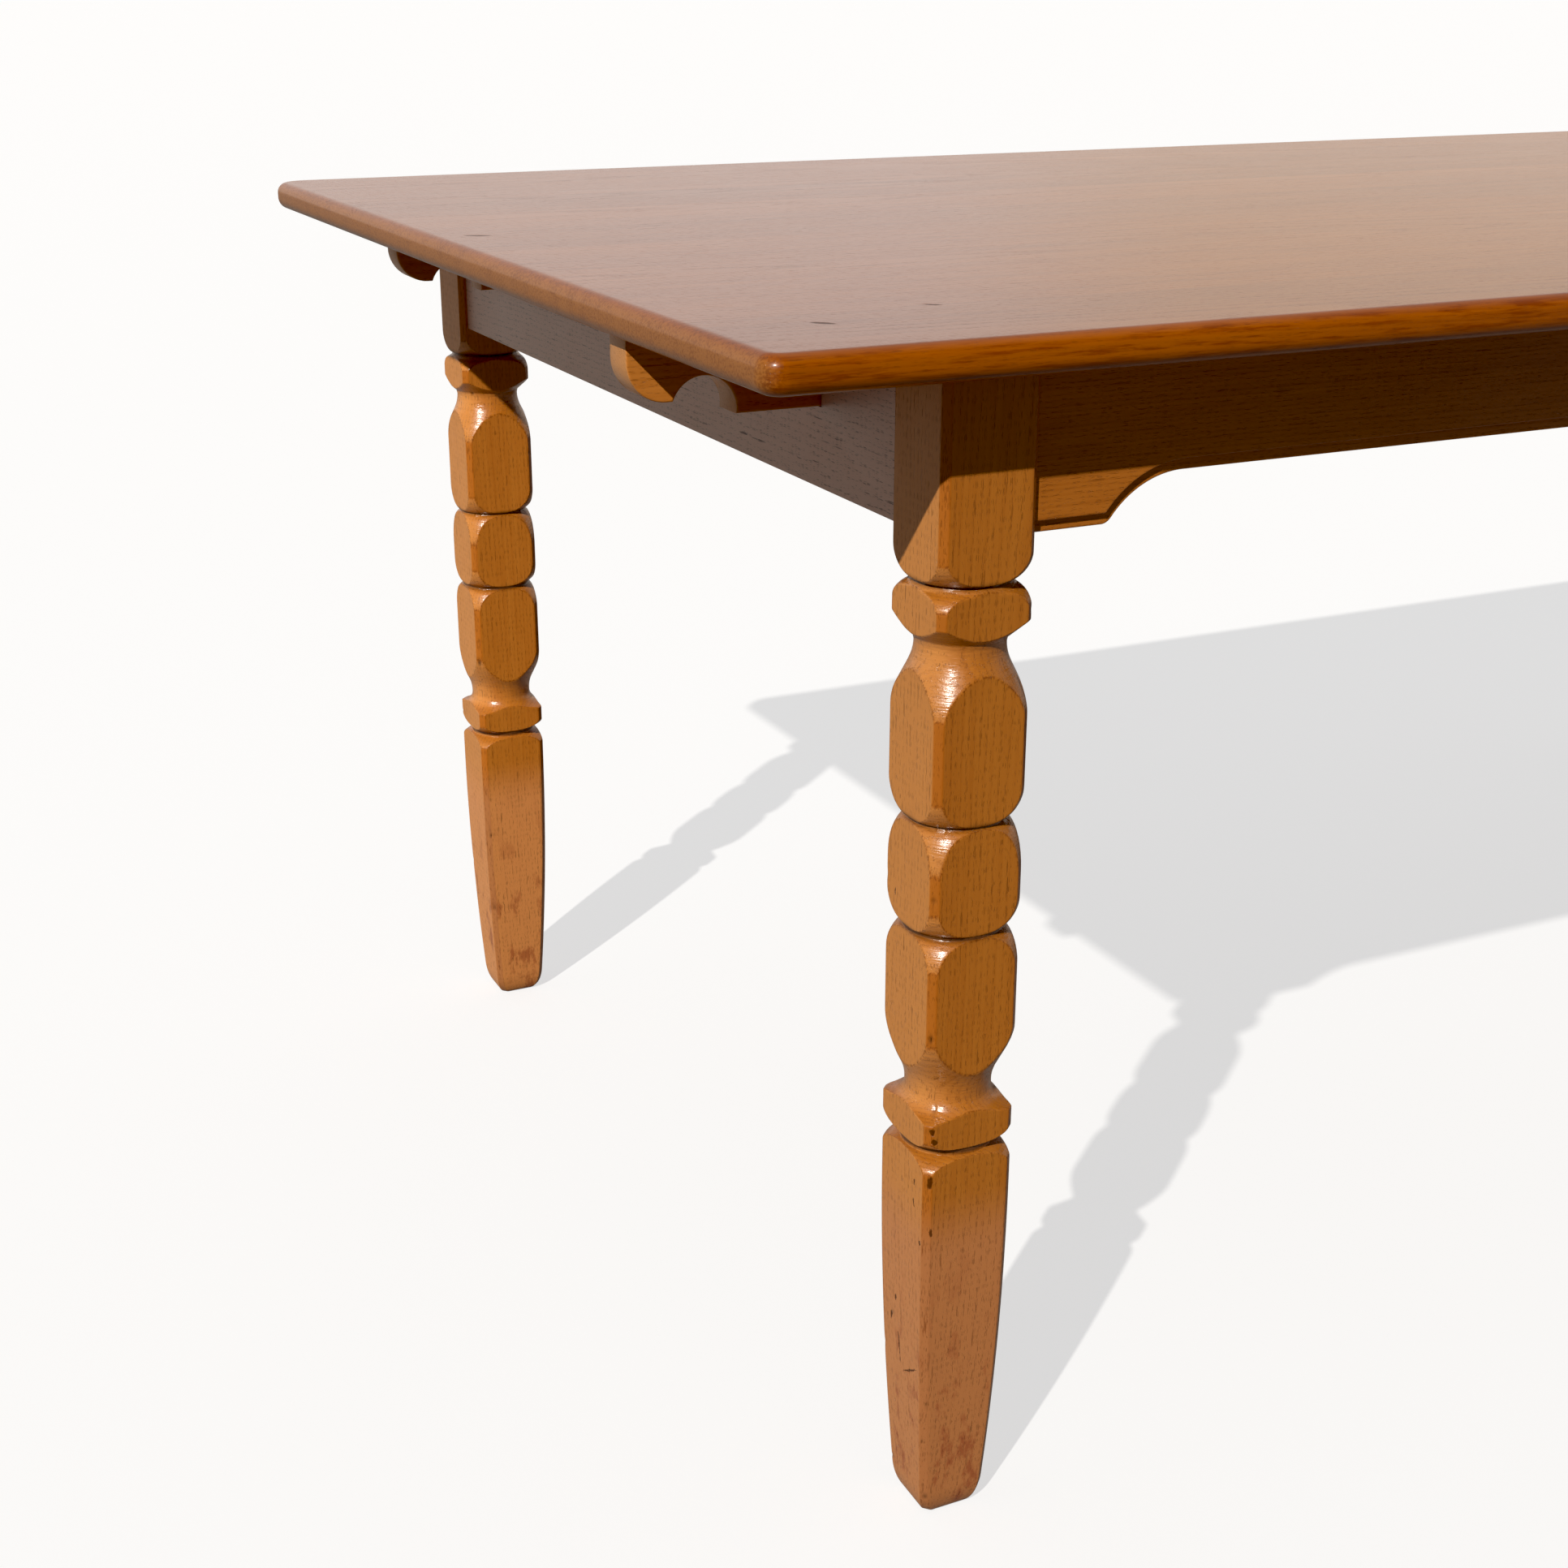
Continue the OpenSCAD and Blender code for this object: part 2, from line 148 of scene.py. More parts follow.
# ---------------------------------------------------------------- node trees

def srgb(red, green, blue):
    """A colour given as 0 to 255 on screen, as the linear colour that nodes take."""
    def linear(value):
        value /= 255
        return value / 12.92 if value <= 0.04045 else ((value + 0.055) / 1.055) ** 2.4
    return (linear(red), linear(green), linear(blue), 1.0)


class Graph:
    """Short calls for building a node tree."""

    def __init__(self, tree):
        self.tree = tree

    def put(self, socket, value):
        if isinstance(value, bpy.types.NodeSocket):
            self.tree.links.new(value, socket)
        else:
            socket.default_value = value

    def node(self, kind, inputs=None, **settings):
        made = self.tree.nodes.new(kind)
        for key, value in settings.items():
            setattr(made, key, value)
        for key, value in (inputs or {}).items():
            self.put(made.inputs[key], value)
        return made

    def math(self, operation, *values, clamp=False):
        made = self.node("ShaderNodeMath", operation=operation, use_clamp=clamp)
        for socket, value in zip(made.inputs, values):
            self.put(socket, value)
        return made.outputs[0]

    def vector(self, operation, *values):
        made = self.node("ShaderNodeVectorMath", operation=operation)
        for socket, value in zip(made.inputs, values):
            self.put(socket, value)
        scalar = operation in ("LENGTH", "DISTANCE", "DOT_PRODUCT")
        return made.outputs["Value" if scalar else "Vector"]

    def join(self, x, y, z):
        return self.node("ShaderNodeCombineXYZ", {"X": x, "Y": y, "Z": z}).outputs[0]

    def split(self, vector):
        return self.node("ShaderNodeSeparateXYZ", {"Vector": vector}).outputs

    def mix(self, factor, first, second, blend="MIX"):
        made = self.node("ShaderNodeMix", data_type="RGBA", blend_type=blend)
        for index, value in ((0, factor), (6, first), (7, second)):
            self.put(made.inputs[index], value)
        return made.outputs[2]

    def noise(self, place, scale=1.0, detail=2.0, roughness=0.5):
        inputs = {"Vector": place, "Scale": scale, "Detail": detail, "Roughness": roughness}
        return self.node("ShaderNodeTexNoise", inputs).outputs[0]

    def stretched(self, place, scales, detail=2.0, roughness=0.5):
        """Noise with its own scale along each axis."""
        return self.noise(self.vector("MULTIPLY", place, scales), 1.0, detail, roughness)

    def smooth(self, value, low, high):
        inputs = {"Value": value, "From Min": low, "From Max": high}
        made = self.node("ShaderNodeMapRange", inputs, interpolation_type="SMOOTHSTEP")
        return made.outputs[0]

    def attribute(self, name):
        return self.node("ShaderNodeAttribute", attribute_name=name).outputs["Fac"]


RING = 2.7 * MM
GRAIN_OUT = ("Tone", "Pores", "Fibre", "Patch")


def grain_group():
    """Solid oak: X runs along the grain and the pith lies on the X axis, in metres."""
    tree = bpy.data.node_groups.new("oak_grain", "ShaderNodeTree")
    tree.interface.new_socket("Place", in_out="INPUT", socket_type="NodeSocketVector")
    for name in GRAIN_OUT:
        tree.interface.new_socket(name, in_out="OUTPUT", socket_type="NodeSocketFloat")
    g = Graph(tree)
    place = g.node("NodeGroupInput").outputs["Place"]
    x, y, z = g.split(place)

    # Growth rings, bent by slow waves along the trunk and roughened by fine ones
    slow = g.stretched(place, (1.1, 7.0, 7.0), detail=1.5)
    fine = g.stretched(place, (9.0, 160.0, 160.0))
    from_pith = g.vector("LENGTH", g.join(0.0, y, z))
    from_pith = g.math("ADD", from_pith, g.math("MULTIPLY", x, 0.012))
    from_pith = g.math("ADD", from_pith, g.math("MULTIPLY", slow, 0.028))
    from_pith = g.math("ADD", from_pith, g.math("MULTIPLY", fine, 0.0012))
    ring = g.math("DIVIDE", from_pith, RING)
    phase = g.math("FRACT", ring)
    rise = g.smooth(phase, 0.0, 0.2)
    fall = g.math("SUBTRACT", 1.0, g.smooth(phase, 0.2, 0.8))
    early = g.math("MULTIPLY", rise, fall)
    year = g.node("ShaderNodeTexWhiteNoise", {"W": g.math("FLOOR", ring)},
                  noise_dimensions="1D").outputs["Value"]

    # Open pores: short dashes along the grain, thickest in the early wood
    def dashes(length, width, slim, fat):
        cells = g.vector("MULTIPLY", place, (1 / length, 1 / width, 1 / width))
        cell = g.node("ShaderNodeTexVoronoi", {"Vector": cells, "Scale": 1.0})
        luck = g.smooth(g.split(cell.outputs["Color"])[0], 0.15, 1.0)
        reach = g.math("MULTIPLY_ADD", early, fat - slim, slim)
        reach = g.math("MULTIPLY", reach, g.math("MULTIPLY_ADD", luck, 0.7, 0.6))
        inner = g.math("SUBTRACT", reach, 0.13)
        inside = g.math("SUBTRACT", 1.0, g.smooth(cell.outputs["Distance"], inner, reach))
        return g.math("MULTIPLY", inside, g.math("MULTIPLY_ADD", luck, 0.7, 0.3))

    coarse = dashes(13 * MM, 0.9 * MM, 0.16, 0.42)
    small = dashes(5 * MM, 0.42 * MM, 0.24, 0.44)
    cover = g.smooth(g.stretched(place, (14.0, 210.0, 210.0)), 0.48, 0.66)
    pores = g.math("MAXIMUM", g.math("MULTIPLY", coarse, cover),
                   g.math("MULTIPLY", small, 0.75))

    # Colour: from year to year, from fibre to fibre and in wider streaks and mottles
    fibre = g.stretched(place, (22.0, 900.0, 900.0), detail=3.0)
    streak = g.stretched(place, (5.0, 240.0, 240.0))
    patch = g.stretched(place, (2.2, 16.0, 16.0), detail=3.0)
    tone = g.math("MULTIPLY_ADD", year, 0.22, g.math("MULTIPLY", early, 0.2))
    tone = g.math("MULTIPLY_ADD", fibre, 0.3, tone)
    tone = g.math("MULTIPLY_ADD", g.math("SUBTRACT", streak, 0.42), 0.9, tone)
    mottle = g.stretched(place, (28.0, 95.0, 95.0))
    tone = g.math("MULTIPLY_ADD", g.math("SUBTRACT", mottle, 0.5), 0.7, tone)

    out = g.node("NodeGroupOutput")
    for name, value in zip(GRAIN_OUT, (tone, pores, fibre, patch)):
        g.put(out.inputs[name], value)
    return tree


GRAIN = grain_group()
AXES = {"x": (0, 1, 2), "y": (1, 0, 2), "z": (2, 0, 1)}

# Colours of marks and of the painted shade in grooves; how low the fading and the bruises reach
# their full strength, as a share of fade_at and in metres; and how far the outline of a scar
# wanders
SPECK = srgb(96, 40, 12)
STREAK = srgb(104, 34, 2)
BRUISE = srgb(146, 66, 40)
NICK = srgb(104, 48, 14)
GROOVE_SHADE_COLOUR = srgb(48, 22, 8)
# Painted shade, darkening the grooves of the turnings
DENT = srgb(38, 20, 12)
TORN = srgb(92, 36, 10)
SCAR = srgb(52, 26, 16)
FADED_ARRIS = (0.36, 0.135, 0.048, 1)
FADED_FROM = 0.8
RUBBED_FROM = 0.04
SCAR_SHAKE = 1.2 * MM


def oak(name, along, pith, pale, deep, dark=srgb(70, 34, 12), arris=srgb(196, 104, 26),
        side=None, side_share=0.6, worn_rim=False, coat=0.45, turned_coat=0.0, gloss=0.26,
        contrast=0.8, pore_depth=0.16, pore_dark=0.34, smears=0.14, fade_at=None,
        faded=(0.56, 0.225, 0.09, 1), scars=()):
    """Lacquered oak. along is the grain's axis, and pith is a point on the trunk's centre
    line, in metres. pale and deep are the wood's two colours, dark is the pores' and arris
    the worn edges'. Faces towards the table's ends turn to the colour side, by side_share.
    worn_rim specks, streaks and dulls the rim of the top. coat is the lacquer's
    weight, and turned parts have turned_coat more. Below the height fade_at, in metres,
    the wood has turned to the colour faded. scars are marks made by scar()."""
    material = bpy.data.materials.new(name)
    material.use_nodes = True
    g = Graph(material.node_tree)
    shader = material.node_tree.nodes["Principled BSDF"]
    coordinates = g.node("ShaderNodeTexCoord").outputs
    object_place = coordinates["Object"]
    facing = g.split(coordinates["Normal"])
    parts = g.split(g.vector("SUBTRACT", object_place, pith))
    place = g.join(*(parts[i] for i in AXES[along]))
    grain = g.node("ShaderNodeGroup", node_tree=GRAIN)
    g.put(grain.inputs["Place"], place)
    tone, pores, fibre, patch = (grain.outputs[name] for name in GRAIN_OUT)

    depth = g.math("MULTIPLY_ADD", g.math("SUBTRACT", patch, 0.5), 1.3, tone)
    depth = g.math("MULTIPLY", depth, contrast, clamp=True)
    colour = g.mix(depth, pale, deep)
    if side:
        # Partly painted sheen: paler faces towards the ends; end grain's own tone on top and
        # lopers
        endways_tone_and_sheen = g.smooth(g.math("ABSOLUTE", facing[0]), 0.35, 0.95)
        colour = g.mix(g.math("MULTIPLY", endways_tone_and_sheen, side_share), colour, side)
    if worn_rim:
        endgrain = g.smooth(g.math("ABSOLUTE", facing[0]), 0.1, 0.5)
        specks = g.stretched(object_place, (500.0, 620.0, 620.0), detail=3.0)
        blotch = g.stretched(object_place, (60.0, 60.0, 60.0))
        specks = g.smooth(g.math("MULTIPLY_ADD", blotch, 0.4, specks), 0.66, 0.84)
        specks = g.math("MULTIPLY", specks, endgrain)
        colour = g.mix(g.math("MULTIPLY", specks, 0.4), colour, SPECK)
        long_rim = g.smooth(g.math("ABSOLUTE", facing[1]), 0.3, 0.8)
        streaks = g.stretched(object_place, (26.0, 90.0, 330.0), detail=4.0, roughness=0.6)
        streaks = g.math("MULTIPLY", g.smooth(streaks, 0.47, 0.66), long_rim)
        colour = g.mix(g.math("MULTIPLY", streaks, 0.62), colour, STREAK)
    if fade_at:
        above = g.split(object_place)[2]
        low = g.math("SUBTRACT", 1.0, g.smooth(above, fade_at * FADED_FROM, fade_at))
        colour = g.mix(g.math("MULTIPLY", low, 0.62), colour, faded)
        arris = g.mix(low, arris, FADED_ARRIS)
        bruise = g.stretched(object_place, (70.0, 70.0, 30.0), detail=5.0, roughness=0.65)
        rubbed = g.math("SUBTRACT", 1.0, g.smooth(above, RUBBED_FROM, fade_at))
        bruise = g.math("MULTIPLY", g.smooth(bruise, 0.52, 0.64), rubbed)
        colour = g.mix(g.math("MULTIPLY", bruise, 0.6), colour, BRUISE)

    # Marks and painted groove shade, carried by the legs' meshes; other pieces read them as 0
    edge, crevice, dent, seam, turned = (
        g.attribute(name) for name in ("edge", "crevice", "dent", "seam", "turned"))
    colour = g.mix(g.math("MULTIPLY", edge, 0.75), colour, arris)
    nicks = g.stretched(object_place, (380.0, 380.0, 60.0), detail=4.0, roughness=0.65)
    nicks = g.math("MULTIPLY", g.smooth(nicks, 0.57, 0.7), edge)
    colour = g.mix(g.math("MULTIPLY", nicks, 0.6), colour, NICK)
    colour = g.mix(g.math("MULTIPLY", pores, pore_dark), colour, dark)
    # Painted shade: darker in the grooves of the turnings, where shade falls
    groove_shade = g.math("MULTIPLY", crevice, g.math("MULTIPLY_ADD", patch, 0.5, 0.6), clamp=True)
    colour = g.mix(groove_shade, colour, GROOVE_SHADE_COLOUR)
    colour = g.mix(g.math("MULTIPLY", dent, 0.9, clamp=True), colour, DENT)
    torn = g.smooth(g.stretched(object_place, (900.0, 900.0, 500.0)), 0.42, 0.6)
    torn = g.math("MULTIPLY", seam, torn)
    colour = g.mix(g.math("MULTIPLY", torn, 0.6), colour, TORN)

    height = g.math("MULTIPLY", pores, -1.0)
    ridges = g.stretched(object_place, (130.0, 130.0, 820.0))
    height = g.math("MULTIPLY_ADD", g.math("MULTIPLY", ridges, turned), 1.5, height)
    height = g.math("MULTIPLY_ADD", fibre, 0.22, height)
    lacquer = g.math("MULTIPLY_ADD", turned, turned_coat, coat)
    if worn_rim:
        level = g.smooth(facing[2], 0.35, 0.95)
        lacquer = g.math("MULTIPLY", lacquer, g.math("MULTIPLY_ADD", level, 0.66, 0.34))
    if scars:
        shake = g.node("ShaderNodeTexNoise", {"Vector": object_place, "Scale": 420.0,
                                              "Detail": 2.0}).outputs["Color"]
        shake = g.vector("MULTIPLY", shake, (2 * SCAR_SHAKE,) * 3)
        shaken = g.vector("ADD", object_place, shake)
        shaken = g.vector("SUBTRACT", shaken, (SCAR_SHAKE,) * 3)
    for draw in scars:
        mark = draw(g, shaken)
        colour = g.mix(g.math("MULTIPLY", mark, 0.8), colour, SCAR)
        height = g.math("MULTIPLY_ADD", mark, -2.5, height)
        lacquer = g.math("MULTIPLY", lacquer, g.math("SUBTRACT", 1.0, mark))
    g.put(shader.inputs["Base Color"], colour)
    smear = g.stretched(object_place, (18.0, 18.0, 18.0), detail=4.0)
    rough = g.math("MULTIPLY_ADD", pores, 0.18, g.math("MULTIPLY_ADD", smear, smears, 0.34))
    g.put(shader.inputs["Roughness"], rough)
    g.put(shader.inputs["Specular IOR Level"], 0.2)
    g.put(shader.inputs["Coat Weight"], lacquer)
    cloudy = g.math("MULTIPLY_ADD", smear, smears, gloss - smears / 2)
    g.put(shader.inputs["Coat Roughness"], cloudy)
    bump = g.node("ShaderNodeBump", {"Height": height, "Strength": 1.0,
                                     "Distance": pore_depth * MM})
    g.put(shader.inputs["Normal"], bump.outputs[0])
    g.put(shader.inputs["Coat Normal"], bump.outputs[0])
    return material


def scar(centre, run, width):
    """A mark that reaches out from centre by run both ways, and sideways by width, in mm."""
    run = Vector(run) * MM

    def draw(g, place):
        offset = g.vector("SUBTRACT", place, Vector(centre) * MM)
        along = g.math("DIVIDE", g.vector("DOT_PRODUCT", offset, run), run.length_squared)
        beside = g.vector("SUBTRACT", offset,
                          g.vector("MULTIPLY", g.join(along, along, along), run))
        wide = g.math("DIVIDE", g.vector("LENGTH", beside), width * MM)
        far = g.math("ADD", g.math("MULTIPLY", along, along), g.math("MULTIPLY", wide, wide))
        return g.math("SUBTRACT", 1.0, g.smooth(far, 0.3, 1.0))
    return draw


def plain_wood(name, along, pith, pale, deep):
    """Bare wood for the parts under the top."""
    return oak(name, along, pith, pale, deep, dark=srgb(120, 84, 50), coat=0.0,
               contrast=0.8, pore_depth=0.05)


def zinc(name):
    """Bright zinc plate for the bolts, nuts, washers and screws."""
    material = bpy.data.materials.new(name)
    material.use_nodes = True
    g = Graph(material.node_tree)
    shader = material.node_tree.nodes["Principled BSDF"]
    place = g.node("ShaderNodeTexCoord").outputs["Object"]
    cloud = g.noise(place, 260.0, 4.0, 0.6)
    speck = g.noise(place, 2400.0, 2.0, 0.5)
    g.put(shader.inputs["Base Color"], g.mix(cloud, srgb(150, 152, 150), srgb(206, 208, 204)))
    g.put(shader.inputs["Metallic"], 1.0)
    g.put(shader.inputs["Roughness"], g.math("MULTIPLY_ADD", cloud, 0.3, 0.25))
    bump = g.node("ShaderNodeBump", {"Height": speck, "Strength": 0.5, "Distance": 0.05 * MM})
    g.put(shader.inputs["Normal"], bump.outputs[0])
    return material


# ---------------------------------------------------------------- meshes

def finish_mesh(name, bm, node, material, sharp=35):
    """Turns bm, in metres, into the piece that stands for a CAD node."""
    bmesh.ops.remove_doubles(bm, verts=bm.verts, dist=0.002 * MM)
    bmesh.ops.recalc_face_normals(bm, faces=bm.faces)
    mesh = bpy.data.meshes.new(name)
    bm.to_mesh(mesh)
    bm.free()
    return finish_piece(name, mesh, node, material, sharp)


def finish_piece(name, mesh, node, material, sharp):
    """Edges that turn by more than sharp degrees stay crisp."""
    mesh.shade_smooth()
    mesh.set_sharp_from_angle(angle=math.radians(sharp))
    piece = bpy.data.objects.new(name, mesh)
    bpy.context.scene.collection.objects.link(piece)
    mesh.materials.append(material)
    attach(piece, BODY_OF[node])
    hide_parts(node)
    return piece


def add_loft(bm, loops):
    """Skins loops of the same number of points, and caps the first and last."""
    rings = [[bm.verts.new(point) for point in loop] for loop in loops]
    count = len(rings[0])
    for lower, upper in zip(rings, rings[1:]):
        for i in range(count):
            j = (i + 1) % count
            bm.faces.new((lower[i], lower[j], upper[j], upper[i]))
    bm.faces.new(rings[0][::-1])
    bm.faces.new(rings[-1])


def arc(centre, radius, start, stop, steps):
    """Points along an arc, from and to an angle in degrees."""
    return [
        (centre[0] + radius * math.cos(math.radians(start + (stop - start) * i / steps)),
         centre[1] + radius * math.sin(math.radians(start + (stop - start) * i / steps)))
        for i in range(steps + 1)
    ]


def shrink(outline, inset):
    """Moves each edge of a counter-clockwise outline inwards, with mitred corners."""
    points = np.array(outline, float)
    before = points - np.roll(points, 1, 0)
    after = np.roll(points, -1, 0) - points
    before /= np.linalg.norm(before, axis=1)[:, None]
    after /= np.linalg.norm(after, axis=1)[:, None]
    normal_a = np.stack((-before[:, 1], before[:, 0]), 1)
    normal_b = np.stack((-after[:, 1], after[:, 0]), 1)
    middle = normal_a + normal_b
    scale = inset * 2 / (middle ** 2).sum(1)
    return points + middle * scale[:, None]


def rounding(ease, steps=3):
    """How far in and how deep an edge rounded to radius ease lies, from its face on."""
    turns = [math.pi / 2 * i / steps for i in range(steps + 1)]
    return [(ease * (1 - math.sin(t)), ease * (1 - math.cos(t))) for t in turns]


def eased_layers(outline, near, far, ease):
    """Loops from the face at near up to the face at far, with edges rounded to ease."""
    inner = ease * 1.8
    layers = [(inner, near)]
    layers += [(inset, near + depth) for inset, depth in rounding(ease)]
    layers += [(inset, far - depth) for inset, depth in rounding(ease)[::-1]]
    layers += [(inner, far)]
    return [(shrink(outline, inset), level) for inset, level in layers]


# ---------------------------------------------------------------- the top

def top_outline(half_l, half_w, inset):
    """Counter-clockwise outline of the top, moved inwards by inset."""
    points = []
    for sx, sy, start in ((1, 1, 0), (-1, 1, 90), (-1, -1, 180), (1, -1, 270)):
        radius = BACK_CORNER_R if sy > 0 else CORNER_R
        centre = (sx * (half_l - radius), sy * (half_w - radius))
        points += arc(centre, radius - inset, start, start + 90, CORNER_STEPS)
    return points


def build_top():
    """The whole slab, then one piece per board, cut at the glue lines."""
    low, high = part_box("top_board_1")
    half_l = high.x / MM
    half_w = -low.y / MM
    bottom, top = low.z / MM, high.z / MM
    turns = np.linspace(0, math.pi / 2, EDGE_STEPS + 1)
    loops = [(UNDER_R + 1, bottom)]
    loops += [(UNDER_R * (1 - math.sin(t)), bottom + UNDER_R * (1 - math.cos(t))) for t in turns]
    loops += [(EDGE_R * (1 - math.cos(t)), top - EDGE_R * (1 - math.sin(t))) for t in turns]
    loops.append((EDGE_R + 1.5, top))
    slab = bmesh.new()
    add_loft(slab, [
        [Vector((x, y, z)) * MM for x, y in top_outline(half_l, half_w, inset)]
        for inset, z in loops
    ])
    rng = np.random.RandomState(21)
    board_count = sum(name.startswith("top_board_") for name in BODY_OF)
    for number in range(1, board_count + 1):
        node = f"top_board_{number}"
        low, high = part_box(node)
        board = slab.copy()
        for y, side in ((low.y, -1), (high.y, 1)):
            outer_edge = abs(y) * 1.001 > half_w * MM
            if outer_edge:
                continue
            geometry = board.verts[:] + board.edges[:] + board.faces[:]
            cut = bmesh.ops.bisect_plane(board, geom=geometry, dist=1e-7, plane_co=(0, y, 0),
                                         plane_no=(0, side, 0), clear_outer=True)
            rim = [e for e in cut["geom_cut"] if isinstance(e, bmesh.types.BMEdge)]
            bmesh.ops.holes_fill(board, edges=rim, sides=0)
        middle = (low.y + high.y) / 2
        pith = (rng.uniform(-4, 4), middle + rng.uniform(-0.09, 0.09),
                low.z - rng.uniform(0.03, 0.16))
        shift = rng.uniform(-1, 1)
        pale = (0.38 + 0.03 * shift, 0.10 + 0.01 * shift, 0.006 + 0.001 * shift, 1)
        deep = (0.24 + 0.02 * shift, 0.05 + 0.005 * shift, 0.002, 1)
        material = oak(f"oak_board_{number}", "x", pith, pale, deep, arris=pale,
                       side=(0.35, 0.14, 0.036, 1), side_share=0.85, worn_rim=True, coat=0.85,
                       gloss=0.16, pore_depth=0.04, smears=0.03, pore_dark=0.36,
                       scars=TOP_SCARS)
        finish_mesh(f"board_{number}", board, node, material, sharp=30)
    slab.free()


TOP_SCARS = (
    scar((-830, -418, 745), (6, -6, 0), 3.0),
    scar((-748, -384, 745), (5, -4, 0), 2.4),
    scar((-868, 32, 745), (10, -5, 0), 3.2),
)


# ---------------------------------------------------------------- the legs

# Knocks on the left front leg, down from the bead to the foot
LEG_SCARS = (
    scar((-773.5, -402, 416), (0, -0.5, 3), 0.8),
    scar((-769.8, -446.2, 279.5), (0.3, -0.3, -2.6), 1.9),
    scar((-768.6, -446.6, 273), (2.4, 0, -1.8), 2.0),
    scar((-770.2, -445.6, 246), (0.3, -0.3, 5), 2.0),
    scar((-773.5, -432.3, 241), (0, 0, 2.5), 0.9),
    scar((-773.5, -431.9, 227), (0, 0.5, 3.5), 0.9),
    scar((-769.4, -446.4, 212), (0, 0, 3.5), 1.2),
    scar((-773.3, -440, 203), (0, 0, 2.5), 1.0),
    scar((-772.2, -410, 148), (0, 0, 3), 1.2),
    scar((-771.8, -404.3, 132), (0, 0, 4), 1.0),
    scar((-771.2, -414, 116), (0, -2.3, -18), 0.7),
    scar((-770.8, -427, 105), (0, -10.8, 6.9), 0.7),
)


def oval(z, reach, a, b, start, stop, steps=12):
    """Points of an oval that reaches out to the radius reach, between two angles."""
    angles = np.radians(np.linspace(start, stop, steps + 1))
    return [(reach - a + a * math.cos(t), z + b * math.sin(t)) for t in angles]


def flare(z, way, rim):
    """From a neck out to the full section; way is 1 upwards and -1 downwards."""
    turns = np.radians(np.linspace(0, COVE_TURN, FLARE_STEPS + 1))
    inner = [(NECK_R + COVE_R * (1 - math.cos(t)), z + way * COVE_R * math.sin(t))
             for t in turns]
    outer = [(rim - SWELL_R * (1 - math.cos(t)), z + way * (FLARE_L - SWELL_R * math.sin(t)))
             for t in turns[::-1]]
    return inner + outer


def turned_profile(block_z, side, top):
    """Radius and height down the lathe profile, from the top of the leg to the floor."""
    rim, bead = side * RIM_SHARE, side * BEAD_SHARE
    foot_z = block_z - FOOT_DROP
    collar_z = block_z - COLLAR_DROP
    collar_top = block_z - LOW_COLLAR_TOP_DROP
    hollow = [(NECK_R + (rim - NECK_R) * (1 - math.cos(t)),
               collar_top + HOLLOW_H * (1 - math.sin(t)))
              for t in np.radians(np.linspace(0, HOLLOW_TURN, HOLLOW_STEPS + 1))]
    return ([(rim, top)]
            + oval(block_z, rim, *BLOCK_OVAL)
            + oval(collar_z, rim, *COLLAR_OVAL)
            + [(rim, collar_z - COLLAR_FLAT),
               (NECK_R + COLLAR_FOOT, collar_z - COLLAR_FLAT - COLLAR_UNDER)]
            + flare(block_z - NECK_DROP, -1, rim)
            + oval(block_z - VASE_DROP, rim, *VASE_OVAL)
            + oval(block_z - BEAD_TOP_DROP, bead, *BEAD_TOP_OVAL)
            + oval(block_z - BEAD_LOW_DROP, bead, *BEAD_LOW_OVAL)
            + oval(block_z - SHANK_DROP, rim, *SHANK_OVAL)
            + flare(block_z - LOW_NECK_DROP, 1, rim)[::-1]
            + hollow + [(rim, collar_top - 1)]
            + oval(block_z - LOW_COLLAR_END_DROP, rim, *LOW_COLLAR_OVAL)
            + oval(foot_z + FOOT_SHOULDER, rim, *FOOT_OVAL)
            + [(rim, -1)])


def soft_min(first, second, blend):
    """The smaller of two lengths, rounded over where they meet."""
    overlap = np.clip(blend - np.abs(first - second), 0, None) / blend
    return np.minimum(first, second) - overlap ** 2 * blend / 4


def half_width(z, half, foot_z, spread=1.0):
    """Half the leg's width at height z: upright, then bowed in, then rounded to the sole.
    Arrises move in spread times as far as faces."""
    bow_r = (foot_z ** 2 + FOOT_TAPER ** 2) / (2 * FOOT_TAPER)
    bow = bow_r - np.sqrt(bow_r ** 2 - np.clip(foot_z - z, 0, None) ** 2)
    low = np.clip(1 - z / SOLE_RISE, 0, 1)
    return half - spread * (bow + SOLE_IN * (1 - np.sqrt(1 - low ** 2)))


def eased_steps(count):
    """Shares from 0 to 1 that crowd together at both ends."""
    return (1 - np.cos(np.linspace(0, math.pi, count + 1))) / 2


